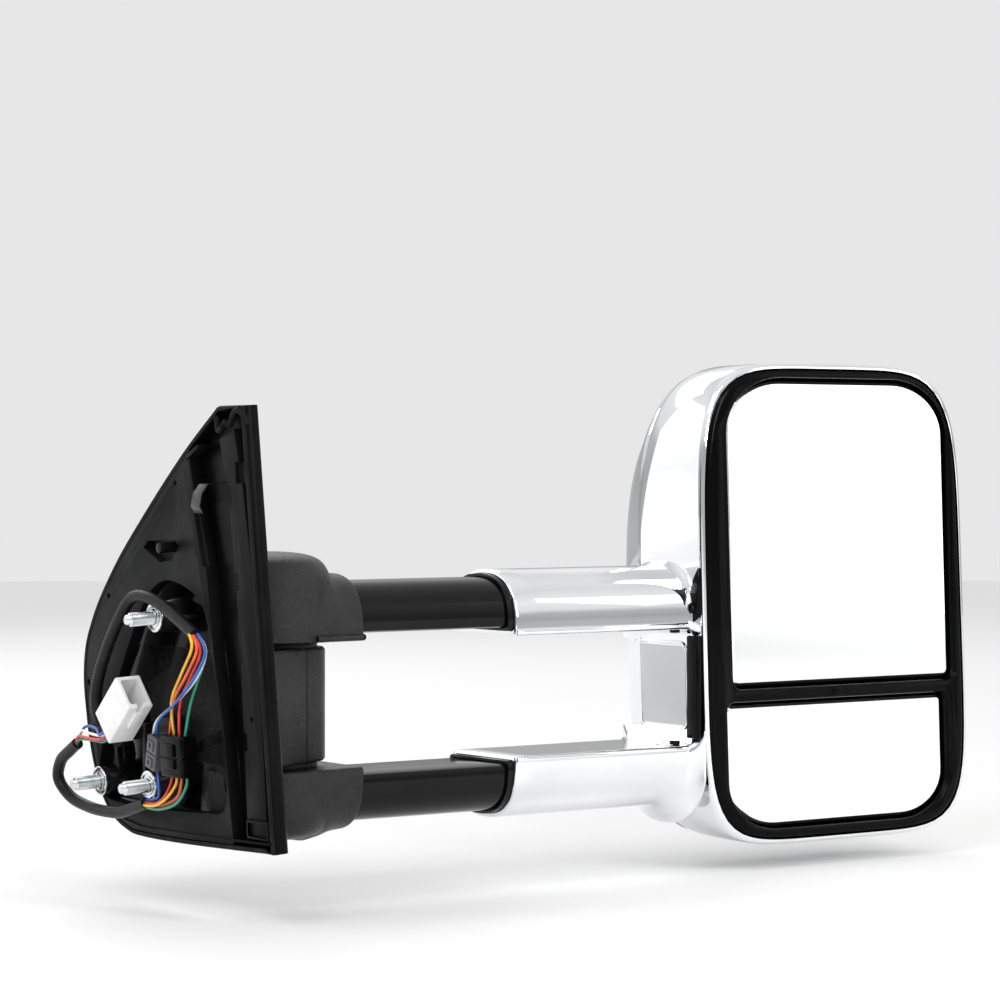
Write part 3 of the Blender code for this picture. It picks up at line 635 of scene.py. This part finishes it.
panelWall = bpy.data.curves.new("panelBorder", "CURVE")
panelWall.dimensions = "3D"
panelWall.bevel_depth = border["thick"] * mm
panelWall.bevel_resolution = 5
spline = panelWall.splines.new("POLY")
line = borderLine()
spline.points.add(len(line) - 1)
for point, (y, z) in zip(spline.points, line):
    point.co = (wallAt(y, z) * mm, y * mm, z * mm, 1)
spline.use_cyclic_u = True
borderPiece = bpy.data.objects.new("panelBorder", panelWall)
bpy.context.scene.collection.objects.link(borderPiece)
pick(borderPiece)
bpy.ops.object.convert(target="MESH")
finishPiece(bpy.context.object, chromeLook, "head", "chrome", angle=60)


# front: raised cap, the two fins that run on from the sleeves, and the amber lamp
def headSolid(name, grow, lift):
    return loft(name, [headRing(y + lift * (y > 20), k, grow) for y, k in headDepths])


capLine = [(338, -126), (338, 120), (348, 138), (370, 146), (410, 148.5), (455, 147), (488, 140), (503, 126),
           (509, 100), (510, 20), (511, -60), (512, -110), (504, -128), (480, -136), (420, -139), (360, -137)]
cap = headSolid("frontCap", 0.9, 1.1)
capRoom = loft("capRoom", [[(p.x, y, p.y) for p in softLoop(capLine, 10)] for y in (24, 80)])
keepInside(cap, capRoom)
combine(cap, headSolid("hollow", -1.4, -1.4))
for _, flat, sense in arms:
    combine(cap, wayIn(flat, sense))
finishPiece(cap, chromeLook, "head", "chrome", angle=40)

# each fin, outboard along the arm: place, how far forward, how tall
finSections = [(332, 26, 30), (340, 36.5, 28), (350, 47.5, 25.5), (362, 56.5, 22.5), (378, 62.5, 19), (396, 65.6, 15.5),
               (414, 66.6, 12), (432, 66.4, 8.5), (450, 65.4, 5), (466, 64.2, 2), (474, 62.5, 0.6)]
for which, flat, sense in arms:
    rings = []
    for x, reach, high in finSections:
        ring = []
        for k in range(13):
            t = math.radians(90 * k / 12)
            ring.append((x, reach - 16 * (1 - math.cos(t) ** 0.7), flat + sense * high * math.sin(t)))
        ring += [(x, 10, flat + sense * high), (x, 10, flat)]
        rings.append(ring)
    fin = loft(which + "Fin", rings)
    combine(fin, headSolid("hollow", -1.4, -1.4))
    combine(fin, wayIn(flat, sense))
    finishPiece(fin, chromeLook, "head", "chrome", angle=45)

lens = headSolid("lampLens", -0.2, -0.2)
room = block("room", (516.3, 5.3, -59.7), (580, 70, 90.7), 5.8, 5)
keepInside(lens, room)
combine(lens, headSolid("hollow", -3, -3))
finishPiece(lens, paintedGlowLensLook, "head", "amber_lens", "lamp_lens", angle=40)


def frontAt(x, z):  # how far forward the front stands at this place
    low, high = 0.0, 62.4
    for _ in range(24):
        y = (low + high) / 2
        scale = scaleAt(y, 0.05)
        up = z - headSize["z"]
        across = abs(x - headSize["x"] - headSize["lean"] * up)
        across /= headSize["halfWide"] * scale + headSize["taper"] * up
        square = squareAt(y, up)
        inside = across**square + (abs(up) / (headSize["halfTall"] * scale)) ** square < 1
        low, high = (y, high) if inside else (low, y)
    return low


fluteSize = {"count": 33, "first": -53, "apart": 4.3, "from": 518.8, "to": 530, "radius": 1.4}
flutes = []
for k in range(fluteSize["count"]):
    z = fluteSize["first"] + fluteSize["apart"] * k
    start, end = ((x, frontAt(x, z) - 0.3, z) for x in (fluteSize["from"], fluteSize["to"]))
    flutes.append(rod("flute", start, end, fluteSize["radius"], 12))
clearSelection()
for piece in flutes:
    piece.select_set(True)
bpy.context.view_layer.objects.active = flutes[0]
bpy.ops.object.join()
flutes[0].name = "lampFlutes"
finishPiece(flutes[0], paintedGlowLensLook, "head", "amber_lens", angle=60)
ledPlace = {"count": 8, "first": -44, "apart": 17}
for k in range(ledPlace["count"]):
    z = ledPlace["first"] + ledPlace["apart"] * k
    led = rod("led" + str(k + 1), (529, 8.2, z), (529, 11.5, z), 2.6, 24, 1.0)
    combine(led, rod("dome", (529, 11, z), (529, 13.4, z), 1.9, 24, 0.8), "UNION")
    finishPiece(led, ledLook, "head", "amber_lens", angle=60)
print("front and lamp")

# bezel: a swept frame with a rolled edge, split by the bar between the panes
upperPane = (457, 51.5, 90.5, 94.5, 33, 5)  # middle, half sizes, upper and lower corners
lowerPane = (456, -93, 89.5, 38, 4, 28)
bezelRings = [(-34, -3.4), (-38, -3.5), (-39.6, -4.1), (-40.6, -5.4), (-41, -7.0)]
bezel = loft("bezel", [headRing(y, 1.0, grow) for y, grow in bezelRings])
for pane in (upperPane, lowerPane):
    mouth = [paneRing(y, pane, grow) for y, grow in ((-60, 3.6), (-41.2, 3.6), (-40.4, 2.5), (-38.5, 1.9), (-20, 1.8))]
    combine(bezel, loft("mouth", mouth))
combine(bezel, block("tab", (448, -41.7, -51.4), (457, -40, -46.8), 0.4), "UNION")
finishPiece(bezel, bezelLook, "head", "black_gloss_plastic", "bezel", angle=40)

for which, pane, body in (("upper", upperPane, "main_pane"), ("lower", lowerPane, "spotter_pane")):
    rings = [(-33.7, 0), (-35.2, 0), (-35.5, -0.2), (-36.5, -1.9), (-36.5, -2.6)]  # polished bevel round the edge
    glass = loft(which + "Mirror", [paneRing(y, pane, grow) for y, grow in rings])
    finishPiece(glass, mirrorLook, body, "mirror_glass", "mirror_glass_" + which, angle=15)
    backing = fromFrame("glass_backing_" + which, which + "Backing", body, panelLook, "dark_grey_plastic")
    keepInside(backing, loft("keepIn", [paneRing(y, pane, -0.6) for y in (-60, 20)]))
print("bezel and panes")

# where the arms meet the head, and the parts that slide in them
ringScrew = rod("ringScrew", (338.6, -33, 6), (345, -33, 6), 3.4, 32, 0.4)
combine(ringScrew, rod("socket", (337, -33, 6), (339.8, -33, 6), 2.3, 6))
finishPiece(ringScrew, castLook, "head", "cast_black")
webLine = [(-38.9, 3), (-28.5, -10), (-28, -8), (-30, 12), (-34, 24), (-38.9, 31)]
blackWeb = loft("blackWeb", [[(x, y, z) for y, z in webLine] for x in (340.4, 346)])
softEdges(blackWeb, 0.5)
finishPiece(blackWeb, glossLook, "head", "black_gloss_plastic")
fromFrame("frame_strip", "frameStrip", "head", glossLook, "black_gloss_plastic", 0.3)
for which in ("upper", "lower"):
    fromFrame("sleeve_liner_" + which, which + "Liner", "head", tubeLook, "black_gloss_plastic")
    fromFrame("tube_" + which, which + "Tube", "arm", tubeLook, "black_gloss_plastic", angle=30)
    fromFrame("tube_stop_" + which, which + "TubeStop", "arm", panelLook, "dark_grey_plastic", 0.4)
    fromFrame("bush_" + which, which + "Bush", "mount", panelLook, "dark_grey_plastic", 0.3)
    fromFrame("sleeve_screw_" + which, which + "SleeveScrew", "head", castLook, "cast_black", 0.4)
# elbows: a turned cap over the pivot, and a collar that holds the tube
pivotX, collarX = 56, 101
elbowTall = {"upper": 51, "lower": 41}
for which, flat, sense in arms:
    tall = elbowTall[which]
    corners = [(35.5, 0), (36.9, 0.5), (37.5, 2), (37.5, tall * 0.3), (37.5, tall * 0.52), (36.9, tall * 0.66),
               (35.2, tall * 0.78), (31.6, tall * 0.885), (26, tall * 0.95), (18, tall * 0.985), (9, tall)]
    profile = [(p.x, p.y) for p in flowing([(r, h, 0) for r, h in corners], 3)]
    around = [math.tau * i / 96 for i in range(96)]
    rings = [[(pivotX + r * math.cos(t), r * math.sin(t), flat + sense * h) for t in around] for r, h in profile]
    elbow = loft(which + "Elbow", rings)
    shoulder, slope = tall - 1.2, tall * 0.55 + 20.5
    sections = [(pivotX + 4, 36.9, shoulder), (pivotX + 11, 36.4, shoulder * 0.55 + slope * 0.45 + 0.6),
                (pivotX + 18, 35.9, slope), (pivotX + 26, 34.6, tall * 0.3 + 29.2), (pivotX + 33, 33.6, 39.2),
                (collarX - 6, 33.4, 38.4), (collarX - 1.4, 33.3, 38), (collarX - 0.4, 32.9, 37.6), (collarX, 32, 36.8)]
    collar = loft("collar", [archRing(x, half, flat, high, sense, soft=2.4) for x, half, high in sections])
    combine(elbow, collar, "UNION")
    if which == "upper":  # rolled lip along the foot of the collar
        lip = [(x, -half - 0.3, flat + sense * 2.2) for x, half, high in sections[1:-1]]
        for here, there in zip(lip[:-1], lip[1:]):
            combine(elbow, rod("lip", here, there, 1.9, 20), "UNION")
    combine(elbow, rod("cavity", (pivotX, 0, flat + sense * 9), (pivotX, 0, flat + sense * (tall - 4.5)), 21, 64))
    combine(elbow, rod("bore", (pivotX, 0, flat - sense * 6), (pivotX, 0, flat + sense * 12), 12.3, 64))
    socket = [archRing(x, 29, flat + sense * 4, 30, sense) for x in (83.5, 106)]
    combine(elbow, loft("socket", socket))
    finishPiece(elbow, grainedLook, "arm", "black_grained_plastic", "elbow_" + which, angle=38)
print("arms")

# door plate, drawn upright as (y, z) outlines and then leant in with the plate
plateEdge = [(-18, 105.5), (12, 84.5), (42, 62), (66, 43), (84, 26.5), (97, 13), (107, 0), (113.5, -11),
             (117.3, -23), (118.8, -36), (118, -50), (116, -67), (111.5, -84), (104, -100), (92, -112),
             (76, -118.6), (58, -121), (3, -120.6)]


def plateRing(inset):
    points = [(-52, 126.6)] + plateEdge + [(-88, -117.6)]
    line = [Vector((p.x, p.y)) for p in flowing([(y, z, 0) for y, z in points], 6)]
    return drawIn(line + [Vector((-80, 126.6))], inset)


def upright(rings):  # rings of (depth, outline) as points of the plate
    return [[(x, y, z) for y, z in line] for x, line in rings]


wellSize = {"floor": 15.5, "wall": 1.5, "line": [(-12, 24), (14, 29), (36, 20), (56, -2), (76, -30), (94, -58), (104, -84),
            (99, -100), (70, -103.5), (30, -103), (-10, -101), (-36, -98), (-41, -80), (-37, -45), (-32, -8), (-26, 14)]}
wellLine = softLoop(wellSize["line"])
wellWay = [(-4, 0), (0, 0), (4, 1.2), (9, 3.5), (13, 7), (15, 11), (wellSize["floor"], 16)]
wall = wellSize["wall"]
wellBack = [(x + (wall if x > 12 else 0), drawIn(wellLine, wall - by)) for x, by in wellWay[1:]]
well = loft("platePocket", upright(wellBack))
combine(well, loft("room", upright([(x, drawIn(wellLine, -by)) for x, by in wellWay])))
finishPiece(onPlate(well), glossLook, "mount", "black_gloss_plastic", angle=45)


def wellCutter():
    rings = [(x, drawIn(wellLine, 0.9 - by)) for x, by in [(-8, 0)] + wellWay[1:]]
    return onPlate(loft("wellCutter", upright(rings)))


coverWay = [(1.2, 0.3), (1.6, 0), (7.2, 0), (9, 0.7), (10, 1.8), (10.5, 3.4)]
cover = loft("sailCover", upright([(x, plateRing(inset)) for x, inset in coverWay]))
combine(cover, loft("hollow", upright([(x, plateRing(3.0)) for x in (-5, 8)])))
onPlate(cover)
combine(cover, wellCutter())
finishPiece(cover, trayLook, "mount", "black_grained_plastic", "sail_cover", angle=40)
seal = loft("rubberSeal", upright([(x, plateRing(inset)) for x, inset in ((-0.1, 0.9), (0.3, 0.5), (1.25, 0.5))]))
combine(seal, loft("hollow", upright([(x, plateRing(2.9)) for x in (-5, 8)])))
finishPiece(onPlate(seal), rubberLook, "mount", "seal_rubber", "rubber_seal", angle=40)
column = fromFrame("pivot_column", "pivotColumn", "mount", grainedLook, "black_grained_plastic")
combine(column, wellCutter())
combine(column, block("seam", (66.2, -32, -80), (66.9, -20.4, -5)))
softEdges(column, 0.9, 3)
smooth(column, 40)

# flat flange, with its edge falling into the deep channel behind it
flangeLine = [(-16, 112), (-19, 98), (-24, 68), (-31, 39), (-33, 10), (-35, -15), (-41, -50), (-45, -111.5)]
panel = loft("mountPanel", upright([(x, plateRing(3.6)) for x in (0.1, 7.6)]))
rearRoom = [(-120, 140), (-12, 140)] + flangeLine + [(-46, -140), (-120, -140)]
combine(panel, prism("rearRoom", rearRoom[::-1], -6, 12))
combine(panel, loft("opening", upright([(x, wellLine) for x in (-5, 12)])))
pinHole = [(38, 47), (33, 51), (4, 52), (-2, 49), (6, 40.5), (20, 39)]
combine(panel, prism("pinHole", pinHole[::-1], -4, 5.5))
for y, z, r in ((82, 18, 1.7), (112, -34, 1.7), (-2, 84, 1.4)):
    combine(panel, rod("hole", (-4, y, z), (3, y, z), r, 20))
combine(panel, prism("ledge", [(-20, 72), (-24.5, 72), (-31.5, 38), (-27, 38)], -2, 2.2))
combine(panel, prism("tab", [(-17, 97), (-17, 99.4), (-31, 105.6), (-31, 103.4)], -1.4, 5), "UNION")
softEdges(panel, 0.45)
finishPiece(onPlate(panel), panelLook, "mount", "dark_grey_plastic", "mount_bracket", angle=40)

# long ramp inside the rear edge, with the clip gaps along it
rampLine = [(-50, 108), (-56, 83), (-60, 28), (-60.5, -20), (-59, -91), (-59, -111),
            (-79, -111), (-79.5, -20), (-78, 29), (-72, 83), (-66, 114)]
ramp = prism("edgeChannel", rampLine[::-1], 1.6, 8.2)
for y, z in ((-57, 78), (-60, 30), (-60, -10), (-60, -58)):
    combine(ramp, block("gap", (0.2, y - 3, z - 5), (5, y + 3.5, z + 5), 1.2))
combine(ramp, block("clipPlace", (-1, -73, 84), (4.5, -65.5, 96), 1.0))
combine(ramp, rod("hole", (-3, -69, -45), (4, -69, -45), 1.5, 20))
softEdges(ramp, 1.3, 3)
finishPiece(onPlate(ramp), panelLook, "mount", "black_grained_plastic", "edge_channel", angle=40)

lipLine = [(-86, -112.6), (3, -115.4), (58, -115.8), (76, -113.2), (92, -106.6),
           (92, -105.2), (76, -111.8), (58, -114.3), (3, -113.9), (-86, -111.1)]
shelf = prism("lowerLip", lipLine, -0.6, 9.0, 0.4)
finishPiece(onPlate(shelf), trayLook, "mount", "black_grained_plastic", angle=40)


def bead(name, route, radius, look, body, slotName, closed=False):  # a round bead along a route, made a mesh
    curve = bpy.data.curves.new(name, "CURVE")
    curve.dimensions = "3D"
    curve.bevel_depth = radius * mm
    curve.bevel_resolution = 4
    curve.use_fill_caps = True
    spline = curve.splines.new("POLY")
    spline.points.add(len(route) - 1)
    for point, at in zip(spline.points, route):
        point.co = (*(Vector(at) * mm), 1)
    spline.use_cyclic_u = closed
    piece = bpy.data.objects.new(name, curve)
    bpy.context.scene.collection.objects.link(piece)
    pick(piece)
    bpy.ops.object.convert(target="MESH")
    return finishPiece(bpy.context.object, look, body, slotName, angle=60)


foam = [(1, -50, 121), (0, -52, 113.5), (-0.5, -57, 114.5), (0, -60, 117.5), (0.5, -64, 116),
        (0, -68, 120.5), (-0.5, -73, 124), (0, -78, 122.5), (1, -81, 116)]
bead("foamSeal", [plateTurn @ p for p in flowing(foam, 6)], 1.7, rubberLook, "mount", "seal_rubber")
edgeLine = [(0.4, y, z) for y, z in plateRing(3.1)[6:62]]
bead("flangeEdge", [plateTurn @ Vector(p) for p in edgeLine], 0.45, panelLook, "mount", "dark_grey_plastic")
pocketBox = block("cornerBox", (-0.4, -84, -111), (9, -60, -100), 1.4)
combine(pocketBox, block("inner", (-3, -82, -109.4), (7, -62, -101.6), 1.0))
finishPiece(onPlate(pocketBox), trayLook, "mount", "black_grained_plastic", angle=40)

# casting in the pocket: three posts for the studs and the broken web between them
studs = {"upper": (22, 8), "front": (97, -91), "rear": (39, -89)}
castLine = [(24, -50), (44, -52), (50, -58), (64, -56), (96, -62), (103, -84),
            (100, -101), (30, -101.5), (18, -94), (24, -78), (20, -64)]
castWindows = ([(84, -67), (60, -65), (54, -72), (58, -90), (76, -92), (86, -86), (82, -76)],
               [(47, -66), (32, -62), (28, -72), (44, -78)])
cast = prism("castBracket", castLine[::-1], 5.2, 12.5)
for line in castWindows:
    combine(cast, prism("window", line, 0, 20))
combine(cast, rod("hole", (0, 79.5, -61), (20, 79.5, -61), 9.5, 32))
combine(cast, prism("rib", [(54, -55), (51, -55), (55, -96), (58, -96)], 2.4, 12), "UNION")
combine(cast, prism("rib", [(90, -66), (87, -66), (84, -98), (88, -98)], 2.8, 12), "UNION")
for which, (y, z) in studs.items():
    post = rod("post", (-1.8, y, z), (wellSize["floor"] + 1, y, z), 8.2, 40, 0.8, far=10.4)
    combine(cast, post, "UNION")
    combine(cast, block("rib", (3, y - 22, z - 1.2), (15, y - 6, z + 1.2), 0.5), "UNION")
    combine(cast, rod("hole", (-5, y, z), (4.6, y, z), 4.2, 32))
softEdges(cast, 0.6)
finishPiece(onPlate(cast), castLook, "mount", "cast_black", "cast_bracket", angle=40)

fromFrame("locating_pin", "locatingPin", "mount", castLook, "dark_grey_plastic", 0.5)
fromFrame("cable_grommet", "cableGrommet", "mount", rubberLook, "seal_rubber", 0.5)
fromFrame("spring_clip", "springClip", "mount", clipLook, "zinc_steel", 0.1)

# studs: one threaded stud and one washer, copied to the three places
studSize = {"tip": -23, "base": 4.4, "radius": 4.0, "root": 3.4, "pitch": 1.25, "threadEnd": -5.5}
tip, base, outer, root = (studSize[key] for key in ("tip", "base", "radius", "root"))


def circleX(x, radius, sides=36):
    turns = [math.tau * i / sides for i in range(sides)]
    return [(x, radius * math.cos(t), radius * math.sin(t)) for t in turns]


threadRings = [circleX(tip, 2.2), circleX(tip + 0.5, 2.8), circleX(tip + 2.2, 2.9)]
x = tip + 2.6
while x < studSize["threadEnd"]:
    threadRings += [circleX(x, root), circleX(x + 0.45, outer), circleX(x + 0.7, outer)]
    x += studSize["pitch"]
threadRings += [circleX(x, outer), circleX(base - 0.4, outer), circleX(base, 3.6)]
studModel = loft("studModel", threadRings)
washerModel = rod("washerModel", (-5.0, 0, 0), (-2.2, 0, 0), 8.6, 48, 0.5)
combine(washerModel, rod("bore", (-8, 0, 0), (0, 0, 0), 4.3, 40))
combine(washerModel, rod("step", (-6, 0, 0), (-4.3, 0, 0), 7.0, 48))
combine(washerModel, rod("collar", (-5.0, 0, 0), (-4.0, 0, 0), 5.6, 40, 0.3), "UNION")
combine(washerModel, rod("bore", (-8, 0, 0), (0, 0, 0), 4.3, 40))
for model, label, node in ((studModel, "Stud", "stud_"), (washerModel, "Washer", "flange_washer_")):
    for which, (y, z) in studs.items():
        copy = bpy.data.objects.new(which + label, model.data.copy())
        bpy.context.scene.collection.objects.link(copy)
        copy.data.transform(Matrix.Translation((0, y * mm, z * mm)))
        finishPiece(onPlate(copy), zincLook, "mount", "zinc_steel", node + which, angle=50)
    bpy.data.objects.remove(model)
print("door plate")

keepNodes(zincLook, "pivot_shaft", "shaft_nut", "detent_spring", "frame_screw_1", "frame_screw_2")
for node, name in (("lamp_housing", "lampHousing"), ("inner_frame", "innerFrame")):
    piece = fromFrame(node, name, "head", panelLook, "dark_grey_plastic")
    keepInside(piece, headSolid("keepIn", -3.3, -3.3))
keepNodes(panelLook, "actuator_housing", "lower_support", "gimbal_ring_upper", "gimbal_ring_lower")
keepNodes(nylonLook, "pan_jackscrew", "tilt_jackscrew")
keepNodes(boardLook, "led_board")


# --- studio
studio = {"floor": -0.1585, "reach": 5.0, "key": 26, "fill": 18, "side": 15, "strip": 18, "grain": 4, "back": 16}
floorLook = finishLook("floorPaint", (0.80, 0.80, 0.80), (0.83, 0.83, 0.83), (0.5, 0.6), cloud=0.5)
clearSelection()
bpy.ops.mesh.primitive_circle_add(vertices=128, radius=studio["reach"], fill_type="NGON", location=(0.3, 0, studio["floor"]))
piece = bpy.context.object
piece.name = "floor"
piece.data.materials.append(floorLook)


def lamp(name, at, target, size, watts):
    data = bpy.data.lights.new(name, "AREA")
    data.shape = "RECTANGLE"
    data.size, data.size_y = size
    data.energy = watts
    piece = bpy.data.objects.new(name, data)
    piece.location = at
    piece.rotation_euler = (Vector(target) - Vector(at)).to_track_quat("-Z", "Y").to_euler()
    piece.visible_camera = False
    bpy.context.scene.collection.objects.link(piece)


lamp("keyLamp", (-1.6, -1.0, 2.2), (0.2, 0, 0), (1.4, 1.4), studio["key"])
lamp("paneLamp", (3.3, -2.5, 0.75), (3.3, 0, 0.75), (1.9, 2.6), studio["fill"])
lamp("sideLamp", (-2.0, 2.7, 0.9), (-1.0, 0, 0.7), (2.8, 2.4), studio["side"])
lamp("stripLamp", (0.55, -1.9, 0.75), (0.08, 0, -0.02), (0.3, 1.0), studio["strip"])
lamp("grainLamp", (-0.22, -1.5, 1.45), (0.08, 0, 0.02), (0.16, 0.3), studio["grain"])
lamp("backLamp", (0.6, 2.2, 1.6), (0.3, 0, 0), (2.0, 0.8), studio["back"])

world = bpy.data.worlds.new("studioWorld")
bpy.context.scene.world = world
world.use_nodes = True
nodes, links = world.node_tree.nodes, world.node_tree.links
background = nodes["Background"]
place = nodes.new("ShaderNodeTexCoord")
split = nodes.new("ShaderNodeSeparateXYZ")
sky = nodes.new("ShaderNodeValToRGB")
skyTones = [(0.0, 0.5), (0.06, 0.42), (0.16, 0.5), (0.24, 0.82), (0.45, 0.95), (0.72, 0.78), (1.0, 0.95)]
for i, (position, tone) in enumerate(skyTones):
    stop = sky.color_ramp.elements[i] if i < 2 else sky.color_ramp.elements.new(position)
    stop.position = position
    stop.color = (tone, tone, tone, 1)
wallTone = nodes.new("ShaderNodeMix")
wallTone.data_type = "RGBA"
wallTone.inputs["B"].default_value = (0.80, 0.80, 0.80, 1)
seen = nodes.new("ShaderNodeLightPath")
links.new(place.outputs["Generated"], split.inputs[0])
links.new(split.outputs["Z"], sky.inputs["Fac"])
links.new(sky.outputs["Color"], wallTone.inputs["A"])
links.new(seen.outputs["Is Camera Ray"], wallTone.inputs["Factor"])
links.new(wallTone.outputs["Result"], background.inputs["Color"])
background.inputs["Strength"].default_value = 1.0
bpy.context.scene.view_settings.view_transform = "Standard"
print("studio ready")
